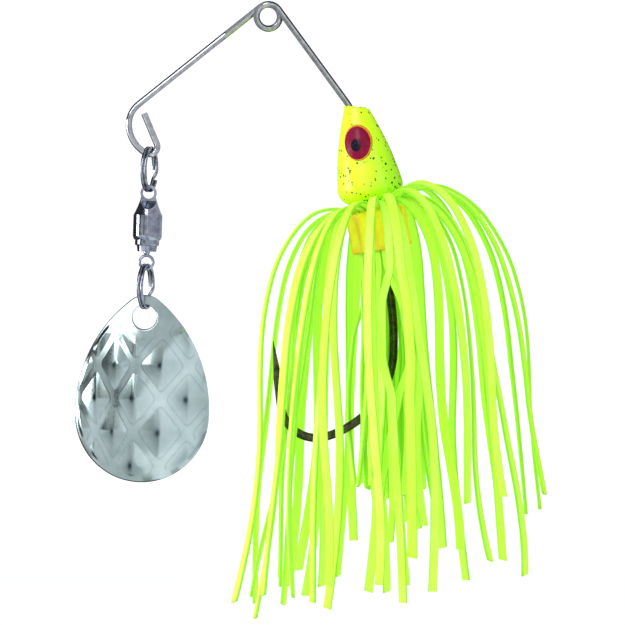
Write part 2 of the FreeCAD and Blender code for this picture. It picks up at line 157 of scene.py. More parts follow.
STRAND_SWAY = (1.0, 3.4)
SWAY_RATE = 0.032
SWAY_START = 0.4  # share of the sway at the collar; it grows by the whole sway along the strand
WIDTH_RATE = 0.35
WIDTH_UNEVEN = 0.06
STRAND_CUT = 0.35  # slant of a cut end, as a share of its width
GETS_LOOSE = (COLLAR_LENGTH, 12.0)  # along the strand
PAINTED_LIGHT_HUE = 0.45  # share of a strand's hue that is painted light, yellower on the lure's left side; the rest is chance

# ---- parting: the strands in front of the hook's shank lean aside and let it show -----------------
PARTED_X = 17.3
PARTED_Z = (-47.5, -40.5)
PARTED_REACH = 2.6
PARTED_PUSH = 1.35
PARTED_FADE = 6.0

# ---- blade ---------------------------------------------------------------------------------------
BLADE_HOLE_R = 1.75
BLADE_TOP_R = 3.1
BLADE_FLANK_R = 20.0
BLADE_BELLY_R = 9.4
BLADE_BELLY_DROP = 13.75
BLADE_THICKNESS = 0.5
DISH_ACROSS_R = 16.0
DISH_ALONG_R = 44.0
DISH_DROP = 12.0
CHAIN_LEAN = math.radians(1.8)
DIAMOND = (7.56, 9.42)  # width and height of one embossed diamond
DIAMOND_AT = (2.65, -6.72)  # centre of one of them, from the hole
DIAMOND_NARROW = (-1.5, 1.45)  # left of this the diamonds are narrower, by this much
DIAMOND_BAND = 0.085  # half the flat band between diamonds, as a share of a cell
DIAMOND_RISE = 0.42
DIAMOND_ROUND = 0.72  # share of a slope above which the crown rounds off
STAMPED_FROM_HOLE = (2.4, 4.2)  # radii between which the stamping comes in
STAMPED_FROM_EDGE = (0.25, 1.1)
STAMPED_TOP = (-2.2, 0.4)
FACET_PAINTED_SHADE = (0.62, 0.42)  # painted shade of a diamond's dark half, and how much less its bright half has
CREST_PAINTED_SHADE = (0.55, -0.045, 0.05, 0.06)  # painted shade beside the crest: how dark, how far from the crest, half width and half height
LINE_PAINTED_SHADE = (0.28, 0.014)  # how dark and how wide the painted shade line round each diamond is
EDGE_PAINTED_SHADE = (0.5, 1.0, 0.1)  # how dark the painted shade along the edge is, and how far from the edge it starts and is full
EDGE_SHADE_PATCHES = (0.45, 0.0, 0.3)  # how fine the patches of painted edge shade are, and the noise between which they show
BLADE_EDGE = 0.16  # how far the rolled edge stands out from the face
BLADE_LAND = 0.1  # the face starts this far outside the hole's radius
BLADE_RIM = ((0.1, 0.7), (BLADE_EDGE, 0.25), (BLADE_EDGE, -0.25), (0.1, -0.7))  # out, and level in the plate
BLADE_RAYS = 520
BLADE_RINGS = 116


# ---- materials: noise sizes and bump depths in mm ------------------------------------------------
MIX_FACTOR, MIX_A, MIX_B = 0, 6, 7
MIX_RESULT = 2


class Finish:
    """A Principled material with its colour, roughness and bump driven by node patterns."""

    def __init__(self, name, **values):
        self.material = bpy.data.materials.new(name)
        self.material.use_nodes = True
        self.tree = self.material.node_tree
        self.shader = self.tree.nodes["Principled BSDF"]
        self.place = self.node("ShaderNodeTexCoord").outputs["Object"]
        for key, value in values.items():
            self.shader.inputs[key.replace("_", " ")].default_value = value

    def link(self, source, target):
        self.tree.links.new(source, target)

    def node(self, kind, inputs=(), **settings):
        made = self.tree.nodes.new(kind)
        for key, value in settings.items():
            setattr(made, key, value)
        for socket, value in dict(inputs).items():
            if isinstance(value, bpy.types.NodeSocket):
                self.link(value, made.inputs[socket])
            else:
                made.inputs[socket].default_value = value
        return made

    def noise(self, size_mm, detail=3.0, stretch=(1, 1, 1)):
        """Value near 0.5 that varies over about size_mm."""
        place = self.node("ShaderNodeMapping", {"Vector": self.place, "Scale": stretch}).outputs["Vector"]
        inputs = {"Vector": place, "Scale": 1 / (size_mm * MM), "Detail": detail}
        return self.node("ShaderNodeTexNoise", inputs).outputs["Fac"]

    def cells(self, size_mm):
        """Distance from the middle of the nearest of random cells of about size_mm."""
        inputs = {"Vector": self.place, "Scale": 1 / (size_mm * MM)}
        return self.node("ShaderNodeTexVoronoi", inputs).outputs["Distance"]

    def spread(self, value, low, high, to_low=0.0, to_high=1.0):
        inputs = {"Value": value, "From Min": low, "From Max": high, "To Min": to_low, "To Max": to_high}
        return self.node("ShaderNodeMapRange", inputs).outputs["Result"]

    def maths(self, operation, a, b):
        return self.node("ShaderNodeMath", {0: a, 1: b}, operation=operation).outputs["Value"]

    def mix(self, share, a, b):
        """Colour between a and b; the sockets are numbered because each name is there for every type."""
        inputs = {MIX_FACTOR: share, MIX_A: a, MIX_B: b}
        return self.node("ShaderNodeMix", inputs, data_type="RGBA").outputs[MIX_RESULT]

    def attribute(self, name):
        return self.node("ShaderNodeAttribute", attribute_name=name).outputs["Fac"]

    def along(self, axis):
        return self.node("ShaderNodeSeparateXYZ", {"Vector": self.place}).outputs[axis]

    def colour(self, source):
        self.link(source, self.shader.inputs["Base Color"])

    # painted light: the surface gives off light of its own colour, though it is no lamp
    def painted_glow(self, source, strength):
        self.link(source, self.shader.inputs["Emission Color"])
        self.shader.inputs["Emission Strength"].default_value = strength

    def rough(self, value, low, high):
        """Roughness from low to high over the part of a noise's range that it uses most."""
        self.link(self.spread(value, 0.25, 0.75, low, high), self.shader.inputs["Roughness"])

    def bump(self, height, strength, distance_mm):
        inputs = {"Height": height, "Strength": strength, "Distance": distance_mm * MM}
        self.link(self.node("ShaderNodeBump", inputs).outputs["Normal"], self.shader.inputs["Normal"])


def rgb(red, green, blue):
    """Linear colour from 0-255 display values."""
    def linear(value):
        share = value / 255
        return share / 12.92 if share <= 0.04045 else ((share + 0.055) / 1.055) ** 2.4
    return (linear(red), linear(green), linear(blue), 1.0)


def metal(name, dark, light, roughness, grain_mm):
    """Plated or drawn metal: cloudy tone, fine grain lines and light handling marks."""
    finish = Finish(name, Metallic=1.0)
    cloud = finish.noise(grain_mm * 9, 2.0)
    grain = finish.noise(grain_mm, 4.0)
    finish.colour(finish.mix(finish.spread(cloud, 0.3, 0.7), dark, light))
    finish.rough(grain, *roughness)
    finish.bump(finish.maths("ADD", finish.maths("MULTIPLY", cloud, 0.5), grain), 0.35, 0.02)
    return finish.material


def painted_head():
    """Fluorescent yellow paint with dark green specks in clusters, greener at the right as painted shade, and
    glowing a little as painted light.
    """
    finish = Finish("painted_lead", Coat_Weight=0.55, Coat_Roughness=0.16, Specular_IOR_Level=0.4)
    cloud = finish.noise(3.4, 2.0)
    yellow = finish.mix(finish.spread(cloud, 0.35, 0.65), rgb(208, 248, 8), rgb(196, 243, 0))
    # painted shade: the head turns greener towards its right
    side = finish.spread(finish.along("X"), PAINTED_SHADE_SIDE[0] * MM, PAINTED_SHADE_SIDE[1] * MM)
    base = finish.mix(finish.maths("MULTIPLY", side, 0.75), yellow, rgb(150, 232, 18))
    clusters = finish.spread(finish.noise(1.9, 1.0), 0.43, 0.51)
    spots = finish.cells(0.56)
    size = finish.spread(finish.noise(0.55, 0.0), 0.3, 0.65, 0.12, 0.38)
    speck = finish.spread(finish.maths("SUBTRACT", size, spots), 0.0, 0.05)
    specks = finish.maths("MULTIPLY", speck, clusters)
    painted = finish.mix(specks, base, rgb(16, 50, 14))
    finish.colour(painted)
    # painted light: the head glows its own colour
    finish.painted_glow(painted, 0.12)
    finish.rough(finish.noise(0.8), 0.24, 0.36)
    lumps = finish.maths("MULTIPLY", finish.noise(1.6, 2.0), 1.4)
    finish.bump(finish.maths("ADD", lumps, finish.maths("MULTIPLY", specks, 0.5)), 0.25, 0.12)
    return finish.material


def silicone():
    """Translucent lime strands: green at their edges, flecked, and from lime to yellow by a hue that is part
    chance and part painted light, yellower on the left; they glow a little as painted light.
    """
    finish = Finish("skirt_silicone", Subsurface_Weight=0.35, Subsurface_Scale=0.6 * MM, IOR=1.41,
                    Subsurface_Radius=(1.0, 1.0, 0.25), Coat_Weight=0.15, Coat_Roughness=0.3)
    hue_and_painted_light = finish.attribute("hue_and_painted_light")
    edge = finish.attribute("edge")
    fleck = finish.noise(0.16, 1.0)
    # painted light: strands on the lure's left are paler and yellower
    body = finish.mix(hue_and_painted_light, rgb(180, 247, 42), rgb(216, 251, 100))
    body = finish.mix(finish.spread(finish.noise(5.0, 2.0), 0.42, 0.62, 0.0, 0.45), body, rgb(192, 248, 46))
    body = finish.mix(finish.spread(fleck, 0.6, 0.72, 0.0, 0.5), body, rgb(150, 226, 60))
    body = finish.mix(finish.maths("MULTIPLY", edge, 0.75), body, rgb(120, 206, 26))
    finish.colour(body)
    # painted light: the strands glow their own colour
    finish.painted_glow(body, 0.14)
    finish.rough(fleck, 0.36, 0.52)
    ribs = finish.noise(0.5, 2.0, (1, 1, 0.12))
    finish.bump(finish.maths("ADD", ribs, finish.maths("MULTIPLY", fleck, 0.3)), 0.3, 0.08)
    return finish.material


def amber_rubber():
    """Yellow rubber with painted shade in amber at its corners, over its rims into the bore and towards its
    foot, and streaks along its length; it glows a little as painted light.
    """
    finish = Finish("amber_rubber", Subsurface_Weight=0.3, Subsurface_Scale=1.0 * MM, IOR=1.5,
                    Coat_Weight=0.2, Coat_Roughness=0.3)
    shade = finish.attribute("edge")
    cloud = finish.noise(2.4, 3.0)
    body = finish.mix(finish.spread(cloud, 0.35, 0.65), rgb(240, 232, 20), rgb(236, 210, 12))
    # painted shade: amber where the collar's edge attribute is high
    body = finish.mix(finish.maths("MULTIPLY", shade, 0.9), body, rgb(220, 160, 8))
    finish.colour(body)
    # painted light: the collar glows its own colour
    finish.painted_glow(body, 0.2)
    finish.rough(finish.noise(0.4), 0.3, 0.46)
    streaks = finish.noise(0.35, 3.0, (1, 1, 0.15))
    finish.bump(finish.maths("ADD", streaks, cloud), 0.3, 0.08)
    return finish.material


def iris():
    """Dark red foil with fibres round the pupil and a redder edge."""
    finish = Finish("eye_iris", Coat_Weight=0.3, Coat_Roughness=0.2, Specular_IOR_Level=0.1)
    rays = finish.attribute("ray")
    depth = finish.attribute("edge")
    settings = {"W": rays, "Scale": 26.0, "Detail": 3.0}
    fibre = finish.node("ShaderNodeTexNoise", settings, noise_dimensions="1D").outputs["Fac"]
    fleck = finish.noise(0.14, 3.0)
    body = finish.mix(finish.spread(fibre, 0.35, 0.7), rgb(132, 0, 50), rgb(104, 0, 36))
    body = finish.mix(finish.spread(fleck, 0.55, 0.75, 0.0, 0.5), body, rgb(164, 10, 76))
    body = finish.mix(finish.spread(depth, 0.72, 1.0, 0.0, 0.7), body, rgb(176, 18, 40))
    finish.colour(body)
    finish.rough(fleck, 0.22, 0.34)
    finish.bump(finish.maths("ADD", fibre, fleck), 0.2, 0.03)
    return finish.material


def pupil():
    finish = Finish("eye_pupil", Coat_Weight=0.12, Coat_Roughness=0.1, Specular_IOR_Level=0.2)
    cloud = finish.noise(0.3, 3.0)
    finish.colour(finish.mix(cloud, rgb(8, 9, 18), rgb(20, 24, 44)))
    finish.rough(cloud, 0.1, 0.2)
    finish.bump(cloud, 0.1, 0.02)
    return finish.material


def eye_rim():
    finish = Finish("eye_rim", Coat_Weight=0.6, Coat_Roughness=0.15)
    cloud = finish.noise(0.4, 3.0)
    finish.colour(finish.mix(finish.spread(cloud, 0.4, 0.6), rgb(250, 122, 34), rgb(240, 176, 20)))
    finish.rough(cloud, 0.25, 0.4)
    finish.bump(cloud, 0.15, 0.03)
    return finish.material


def stamped_nickel():
    """Bright plate with hairline scratches, darkened by painted shade on the diamonds and in patches near the
    edge.
    """
    finish = Finish("nickel_blade", Metallic=1.0)
    cloud = finish.noise(2.6, 3.0)
    grain = finish.noise(0.22, 4.0)
    scratch = finish.noise(0.12, 2.0, (1, 1, 0.06))
    plate = finish.mix(finish.spread(cloud, 0.3, 0.7), rgb(172, 194, 194), rgb(196, 213, 213))
    # painted shade: the blade's shade attribute darkens the plate
    finish.colour(finish.mix(finish.attribute("painted_shade"), plate, rgb(50, 70, 74)))
    finish.rough(grain, 0.12, 0.2)
    finish.bump(finish.maths("ADD", finish.maths("MULTIPLY", scratch, 0.6), grain), 0.3, 0.012)
    return finish.material


def repaint(material, *nodes):
    for node in nodes:
        for slot in frame["nodes"][node].material_slots:
            slot.material = material


# ---- mesh pieces ---------------------------------------------------------------------------------
def piece(name, points, faces, body, materials, values=None, indices=None):
    """A smooth mesh riding on a body; points in mm, values as named numbers for each point."""
    mesh = bpy.data.meshes.new(name)
    mesh.from_pydata([point * MM for point in points], [], faces)
    for material in materials:
        mesh.materials.append(material)
    for key, numbers in (values or {}).items():
        mesh.attributes.new(key, "FLOAT", "POINT").data.foreach_set("value", numbers)
    mesh.shade_smooth()
    if indices:
        mesh.polygons.foreach_set("material_index", indices)
    mesh.validate()
    mesh.update()
    made = bpy.data.objects.new(name, mesh)
    bpy.context.scene.collection.objects.link(made)
    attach(made, body)
    return made


def ring_faces(rings, around, closed=True):
    """Quads between successive rings of the same number of points."""
    faces = []
    for ring in range(rings - 1 + (1 if closed else 0)):
        for step in range(around):
            a = ring * around + step
            b = ring * around + (step + 1) % around
            lift = ((ring + 1) % rings - ring) * around
            faces.append((a, b, b + lift, a + lift))
    return faces


def head_frame():
    """Frame of the head's tip, with the head's body along its -Z."""
    return Matrix.Translation(HEAD_TIP) @ Matrix.Rotation(-HEAD_TILT, 4, "Y")


def head_radius(depth):
    """Flank of the head through its three design radii."""
    t = depth / HEAD_WIDEST
    return TIP_R * (1 - t) * (1 - 2 * t) + FLANK_R * 4 * t * (1 - t) + HEAD_R * t * (2 * t - 1)


def smooth(value, low, high):
    """0 below low, 1 above high and a smooth step between."""
    share = min(1.0, max(0.0, (value - low) / (high - low)))
    return share * share * (3 - 2 * share)


def eye_face(side, name, materials):
    """Domed oval eye: pupil, iris and a thin rim that rolls down into the head."""
    place = head_frame() @ Matrix.Rotation(side * EYE_TURN, 4, "Z")
    rings = [(step / PUPIL_RINGS, 0.0) for step in range(1, PUPIL_RINGS + 1)]
    rings += [(1.0, (step + 1) / IRIS_RINGS) for step in range(IRIS_RINGS)]
    points = []
    edge = []
    ray = []
    for inner, outer in rings:
        for step in range(EYE_AROUND):
            a = 2 * math.pi * step / EYE_AROUND
            across = (PUPIL_SHIFT[0] + PUPIL_HALF[0] * inner * math.cos(a)) * (1 - outer)
            across += EYE_HALF[0] * math.cos(a) * outer
            upward = (PUPIL_SHIFT[1] + PUPIL_HALF[1] * inner * math.sin(a)) * (1 - outer)
            upward += EYE_HALF[1] * math.sin(a) * outer
            share = math.hypot(across / EYE_HALF[0], upward / EYE_HALF[1])
            height = EYE_EDGE + EYE_CROWN * (1 - share * share)
            height += PUPIL_RISE * smooth(1 - outer, 0.9, 1.0)
            height -= (EYE_EDGE + RIM_SUNK) * smooth(outer, RIM_STARTS, 1.0)
            radius = head_radius(EYE_DROP - upward) + height
            depth = side * math.sqrt(radius**2 - across**2)
            points.append(place @ Vector((across, depth, upward - EYE_DROP)))
            edge.append(outer)
            ray.append(step / EYE_AROUND)
    faces = ring_faces(len(rings), EYE_AROUND, closed=False)
    faces.append(tuple(range(EYE_AROUND)))
    indices = []
    for ring, (_, outer) in enumerate(rings[1:]):
        kind = PUPIL if ring < PUPIL_RINGS - 1 else (IRIS if outer < RIM_STARTS else RIM)
        indices += [kind] * EYE_AROUND
    indices.append(PUPIL)
    made = piece(name, points, faces, "lure", materials, {"edge": edge, "ray": ray}, indices)
    return made


def paint_crust(material):
    """Ragged lip of paint round the flat of the tip and up the wire."""
    edge = Matrix.Translation((-TIP_R, 0, 0))
    place = head_frame() @ edge @ Matrix.Rotation(TIP_SLOPE, 4, "Y") @ edge.inverted()
    arm = Matrix.Rotation(HEAD_TILT - TIP_SLOPE - ARM_LEAN, 3, "Y") @ Vector((0, 0, 1))
    inner_radius = LIP_PROFILE[-1][0]
    points = []
    for radius, height in LIP_PROFILE:
        for step in range(LIP_AROUND):
            a = 2 * math.pi * step / LIP_AROUND
            spot = Vector((math.cos(a), math.sin(a), radius))
            ragged = sum(noise.noise(spot * rate) * rise for rate, rise in LIP_LUMPS)
            blend = smooth(radius, *LIP_BLEND)
            lip = Vector((math.cos(a) * radius, math.sin(a) * radius, height + ragged * blend))
            near = WIRE_R * LIP_ON_WIRE + (radius - inner_radius) * LIP_SPREAD
            hug = WIRE_ENTRY + arm * height + Vector((math.cos(a) * near * LIP_OVAL, math.sin(a) * near, 0))
            points.append(place @ lip.lerp(hug, 1 - blend))
    faces = ring_faces(len(LIP_PROFILE), LIP_AROUND, False)
    piece("paint_crust", points, faces, "lure", [material])


def collar_radius(angle, depth, share):
    """From the bore to the flat-sided outside, by share; the sides are rippled and slightly waisted."""
    half_side = math.pi / COLLAR_SIDES
    off = (angle + half_side) % (2 * half_side) - half_side
    facet = angle - off
    apothem = COLLAR_OUTER_R * math.cos(half_side)
    outer = min(apothem / math.cos(half_side - abs(off)), COLLAR_OUTER_R * COLLAR_CORNER_CUT)
    waist = COLLAR_WAIST * math.sin(math.pi * depth / COLLAR_LENGTH)
    ripple = noise.noise(Vector((math.cos(facet) * 3, math.sin(facet) * 3, depth * 0.5))) * COLLAR_RIPPLE
    corner = abs(off) / half_side
    return COLLAR_BORE_R + (outer + ripple - waist - COLLAR_BORE_R) * share, corner


def collar(material):
    """Stretched rubber band: flat sides, soft corners, a rolled rim at each end."""
    around = COLLAR_SIDES * COLLAR_SIDE_STEPS
    place = head_frame() @ Matrix.Translation((0, 0, -COLLAR_TOP))
    lip_depth = COLLAR_LIP[-1][1]
    wall = COLLAR_LENGTH - 2 * lip_depth
    profile = list(COLLAR_LIP)
    profile += [(1.0, lip_depth + wall * (step + 1) / COLLAR_WALL_STEPS) for step in range(COLLAR_WALL_STEPS)]
    profile += [(share, COLLAR_LENGTH - depth) for share, depth in COLLAR_LIP[-2::-1]]
    points = []
    edge = []
    for share, depth in profile:
        for step in range(around):
            a = 2 * math.pi * step / around
            radius, corner = collar_radius(a, depth, share)
            sag = noise.noise(Vector((math.cos(a), math.sin(a), 7.0))) * COLLAR_SAG
            sag *= math.cos(math.pi * depth / COLLAR_LENGTH)
            points.append(place @ Vector((radius * math.cos(a), radius * math.sin(a), sag - depth)))
            # painted shade: amber at the corners, over the rims into the bore, and towards the foot
            at_side = smooth(1 - corner, 0.55, 1.0) * 0.8
            at_bore = 1.0 - smooth(share, 0.3, 0.95)
            at_foot = 0.7 * smooth(depth, COLLAR_LENGTH - 1.0, COLLAR_LENGTH)
            edge.append(max(at_side, at_bore, at_foot))
    faces = ring_faces(len(profile), around, True)
    made = piece("skirt_band", points, faces, "lure", [material], {"edge": edge})
    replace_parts(made, "skirt_collar")


# ---- skirt ---------------------------------------------------------------------------------------
class Route:
    """Stations (point and direction) along a tangent chain of straight runs and arcs."""

    def __init__(self, start, direction):
        self.stations = [(start.copy(), direction.normalized())]

    @property
    def direction(self):
        return self.stations[-1][1]

    def straight(self, length):
        start, direction = self.stations[-1]
        steps = max(1, round(length / STRAND_STEP))
        for step in range(1, steps + 1):
            self.stations.append((start + direction * (length * step / steps), direction.copy()))

    def bend(self, radius, degrees, axis):
        start, direction = self.stations[-1]
        centre = start + axis.cross(direction) * radius
        spoke = start - centre
        steps = max(3, round(radius * math.radians(degrees) / STRAND_STEP))
        for step in range(1, steps + 1):
            turn = Matrix.Rotation(math.radians(degrees) * step / steps, 3, axis)
            self.stations.append((centre + turn @ spoke, turn @ direction))

    def bend_to(self, radius, direction):
        target = direction.normalized()
        axis = self.direction.cross(target).normalized()
        self.bend(radius, math.degrees(self.direction.angle(target)), axis)


def fall(route, settle, length):
    """Limp strand: it bends over ever more gently until it hangs with a slight outward lean."""
    side = route.direction.cross(DOWN).normalized()
    to_rest = math.degrees(route.direction.angle(DOWN)) - LEAN
    done = 0.0
    for index in range(FALL_BENDS):
        along = length * ((index + 1) / FALL_BENDS) ** FALL_SPACING
        turn = to_rest * (math.exp(-done / settle) - math.exp(-along / settle))
        if turn < LEAST_BEND:
            route.straight(along - done)
        else:
            route.bend((along - done) / math.radians(turn), turn, side)
        done = along


def strand_routes(index, chance):
    """The two halves of one strand, each starting where the collar lets go of its lower end."""
    degrees = 360 / STRANDS * (index + 0.5)
    layer = index % 2
    out = Matrix.Rotation(math.radians(degrees), 3, "Z") @ Vector((1, 0, 0))
    rightness = math.cos(math.radians(degrees))
    tilt = head_frame().to_3x3()
    down = tilt @ DOWN
    start = head_frame() @ (out * LAYER_R[layer] + DOWN * (COLLAR_TOP + COLLAR_LENGTH))
    side = 90 if degrees < 180 else 270
    way = Matrix.Rotation(math.radians((side + degrees) / 2), 3, "Z") @ Vector((1, 0, 0))

    like_outer = abs(degrees - 180) < GAPE_STRANDS or layer == 0
    settle = (SETTLE[0] + SETTLE[1] * rightness) * chance.uniform(*SETTLE_SHARES[0 if like_outer else 1])
    outer_length = OUTER_LENGTH[0] + OUTER_LENGTH[1] * rightness + chance.uniform(*OUTER_UNEVEN)
    inner_length = chance.uniform(*INNER_LENGTH)
    spread = chance.uniform(*INNER_SPREAD[layer])
    flare = (FLARE + FLARE_EXTRA * rightness) * FLARE_SHARE[layer]

    low = Route(start, down)
    low.bend_to(INNER_BENDS[0], DOWN + way * spread * INNER_LEANS[0] + Vector((down.x * INNER_TILT, 0, 0)))
    low.straight(inner_length * INNER_RUNS[0])
    low.bend_to(INNER_BENDS[1], DOWN + way * INNER_LEANS[1])
    low.straight(inner_length * INNER_RUNS[1])

    high = Route(start, down * -1)
    high.straight(COLLAR_TOP + COLLAR_LENGTH - FLARE_DEPTH[layer] - KNEE_R[layer])
    high.bend(KNEE_R[layer], 90 - flare, high.direction.cross(tilt @ out))
    fall(high, settle, outer_length)
    return layer, low.stations, high.stations


def parting(stations):
    """How far a strand that hangs in front of the hook's shank is pushed clear of it, in mm."""
    near = [point for point, _ in stations if PARTED_Z[0] < point.z < PARTED_Z[1]]
    if not near:
        return 0.0
    middle = sum(near, Vector()) / len(near)
    off = middle.x - PARTED_X
    if middle.y > 0 or abs(off) > PARTED_REACH:
        return 0.0
    return math.copysign(PARTED_PUSH * (1 - abs(off) / PARTED_REACH), off)


def parted(z):
    """Share of the parting at a height: all of it beside the shank, fading above and below."""
    low, high = PARTED_Z
    return smooth(z, low - PARTED_FADE, low) * (1 - smooth(z, high, high + PARTED_FADE))


def ribbon(stations, first_side, layer, chance):
    """Rounded flat section swept along half a strand; returns points and edge shares."""
    push = parting(stations)
    width = chance.uniform(*STRAND_WIDTH)
    twist = math.radians(chance.uniform(-STRAND_TWIST, STRAND_TWIST))
    sway = chance.uniform(*STRAND_SWAY)
    seed = chance.uniform(0, 90)
    cut = chance.uniform(-STRAND_CUT, STRAND_CUT)
    total = (len(stations) - 1) * STRAND_STEP
    points = []
    edges = []
    side = first_side
    along = 0.0
    before = stations[0][0]
    for number, (point, direction) in enumerate(stations):
        along += (point - before).length
        before = point
        side = (side - direction * side.dot(direction)).normalized()
        loose = smooth(along, *GETS_LOOSE)
        turn = Matrix.Rotation(twist * loose * along / total, 3, direction)
        across = turn @ side
        through = direction.cross(across)
        drift = noise.noise_vector(Vector((seed, along * SWAY_RATE, 0.0)))
        drift *= sway * loose * (SWAY_START + along / total)
        drift.x += push * parted(point.z)
        here = point + drift - direction * drift.dot(direction)
        wide = HELD_WIDTH[layer] + (width - HELD_WIDTH[layer]) * loose
        wide *= 1 + WIDTH_UNEVEN * noise.noise(Vector((seed, along * WIDTH_RATE, 5.0)))
        last = number == len(stations) - 1
        for x, y in SECTION:
            slant = direction * (x * cut * wide) if last else Vector()
            points.append(here + across * (x * wide) + through * (y * STRAND_THICKNESS) + slant)
            edges.append(1.0 if abs(x) > SECTION_EDGE else 0.0)
    return points, edges


def ribbon_faces(first, count):
    """Sides and two ends of a ribbon of count sections, whose points are numbered from first."""
    sides = len(SECTION)
    last = (count - 1) * sides
    faces = ring_faces(count, sides, False)
    faces.append(tuple(range(sides))[::-1])
    faces.append(tuple(range(last, last + sides)))
    return [tuple(first + corner for corner in face) for face in faces]


def strand_hue_and_painted_light(index, chance):
    """0 to 1, part chance and part painted light that makes strands yellower towards the left of the lure."""
    painted_light_leftness = (1 - math.cos(2 * math.pi * (index + 0.5) / STRANDS)) / 2
    return (1 - PAINTED_LIGHT_HUE) * chance.random() + PAINTED_LIGHT_HUE * painted_light_leftness


def skirt(material):
    """Eight tabs of five ribbons; each strand runs up through the collar and out over its rim."""
    chance = random.Random(SKIRT_SEED)
    looks = random.Random(LOOKS_SEED)
    for tab in range(TABS):
        points = []
        faces = []
        edges = []
        hues_and_painted_light = []
        for index in range(tab * STRANDS_PER_TAB, (tab + 1) * STRANDS_PER_TAB):
            layer, low, high = strand_routes(index, chance)
            hue_and_painted_light = strand_hue_and_painted_light(index, looks)
            start, direction = low[0]
            round_head = direction.cross(start - HEAD_TIP).normalized()
            for stations in (low, high):
                made, marks = ribbon(stations, round_head, layer, looks)
                faces += ribbon_faces(len(points), len(stations))
                points += made
                edges += marks
                hues_and_painted_light += [hue_and_painted_light] * len(made)
        name = "skirt_ribbons_" + str(tab + 1)
        made = piece(name, points, faces, "lure", [material], {"edge": edges, "hue_and_painted_light": hues_and_painted_light})
        made.modifiers.new("ends", "WEIGHTED_NORMAL").keep_sharp = True
        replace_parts(made, "skirt_tab_" + str(tab + 1))


# ---- blade ---------------------------------------------------------------------------------------
def blade_reach():
    """Function giving the outline's distance from the hole for an angle off straight down."""
    to_top = BLADE_FLANK_R - BLADE_TOP_R
    to_belly = BLADE_FLANK_R - BLADE_BELLY_R
    z = (to_belly**2 - to_top**2 - BLADE_BELLY_DROP**2) / (2 * BLADE_BELLY_DROP)
    centre = Vector((-math.sqrt(to_top**2 - z**2), z))
    belly = Vector((0, -BLADE_BELLY_DROP))
    top = -centre.normalized() * BLADE_TOP_R
    low = belly + (belly - centre).normalized() * BLADE_BELLY_R
    top_angle = math.atan2(top.x, -top.y)
    low_angle = math.atan2(low.x, -low.y)

    def far(circle, radius, ray):
        along = circle.dot(ray)
        return along + math.sqrt(radius**2 - circle.length_squared + along**2)

    def reach(angle):
        ray = Vector((math.sin(abs(angle)), -math.cos(angle)))
        if abs(angle) > top_angle:
            return BLADE_TOP_R
        if abs(angle) > low_angle:
            return far(centre, BLADE_FLANK_R, ray)
        return far(belly, BLADE_BELLY_R, ray)

    return reach


def emboss(x, z):
    """Height and painted shade of the stamped diamonds: low pyramids with flat bands between them."""
    start, narrow = DIAMOND_NARROW
    if x < start:
        x = start + (x - start) * narrow
    u = (x - DIAMOND_AT[0]) / DIAMOND[0]
    v = (z - DIAMOND_AT[1]) / DIAMOND[1]
    p = u + v - round(u + v)
    q = u - v - round(u - v)
    far = (p**8 + q**8) ** 0.125
    half = 0.5 - DIAMOND_BAND
    slope = max(0.0, half - far) / half
    crown = slope - 0.5 * max(0.0, slope - DIAMOND_ROUND) ** 2 / (1 - DIAMOND_ROUND)
    across = (p + q) / 2
    upward = (p - q) / 2
    facet, lighter = FACET_PAINTED_SHADE
    crest, shift, wide, high = CREST_PAINTED_SHADE
    line, thin = LINE_PAINTED_SHADE
    # painted shade: a dark half, a dark spot beside the crest and a dark line round each diamond stand in for
    # how the facets reflect the light
    shade = slope * (facet - lighter * smooth(across, -0.02, 0.02))
    shade += crest * math.exp(-(((across - shift) / wide) ** 2) - (upward / high) ** 2)
    shade += line * math.exp(-(((far - half) / thin) ** 2))
    return DIAMOND_RISE * crown, min(1.0, shade)


def stamping(x, z, radius, far):
    """How far the plate is raised at a point, and how much painted shade it has; far is the edge's radius
    there.
    """
    inside = smooth(radius, *STAMPED_FROM_HOLE) * smooth(far - radius, *STAMPED_FROM_EDGE)
    plain = 1 - smooth(z, *STAMPED_TOP)
    raised, shade = emboss(x, z)
    dark, starts, full = EDGE_PAINTED_SHADE
    fineness, *shows = EDGE_SHADE_PATCHES
    # painted shade: dark reflections in patches near the edge
    painted_edge_shade = dark * smooth(radius, far - starts, far - full)
    painted_edge_shade *= smooth(noise.noise(Vector((x, 0, z)) * fineness), *shows)
    return raised * inside * plain, min(1.0, max(shade * inside, painted_edge_shade) * plain)


def dish(x, z, offset):
    """Depth of the dished plate's face, offset outwards from its middle surface."""
    along = DISH_ALONG_R + offset
    ring = DISH_ACROSS_R + offset - along + math.sqrt(along**2 - (z + DISH_DROP) ** 2)
    sag = DISH_ALONG_R - math.sqrt(DISH_ALONG_R**2 - DISH_DROP**2)
    return DISH_ACROSS_R - sag - math.sqrt(ring**2 - x**2)


def blade_rows():
    """Rows of points: out over the front, round the edge, back in and round the hole's edge.

    Each row is a share of the way out, how far it stands outside that, and its level through the plate."""
    shares = [ring / (BLADE_RINGS - 1) for ring in range(BLADE_RINGS)]
    rows = [(share, 0.0, 1.0) for share in shares]
    rows += [(1.0, out, level) for out, level in BLADE_RIM]
    rows += [(share, 0.0, -1.0) for share in reversed(shares)]
    rows += [(0.0, -out, level) for out, level in reversed(BLADE_RIM)]
    return rows


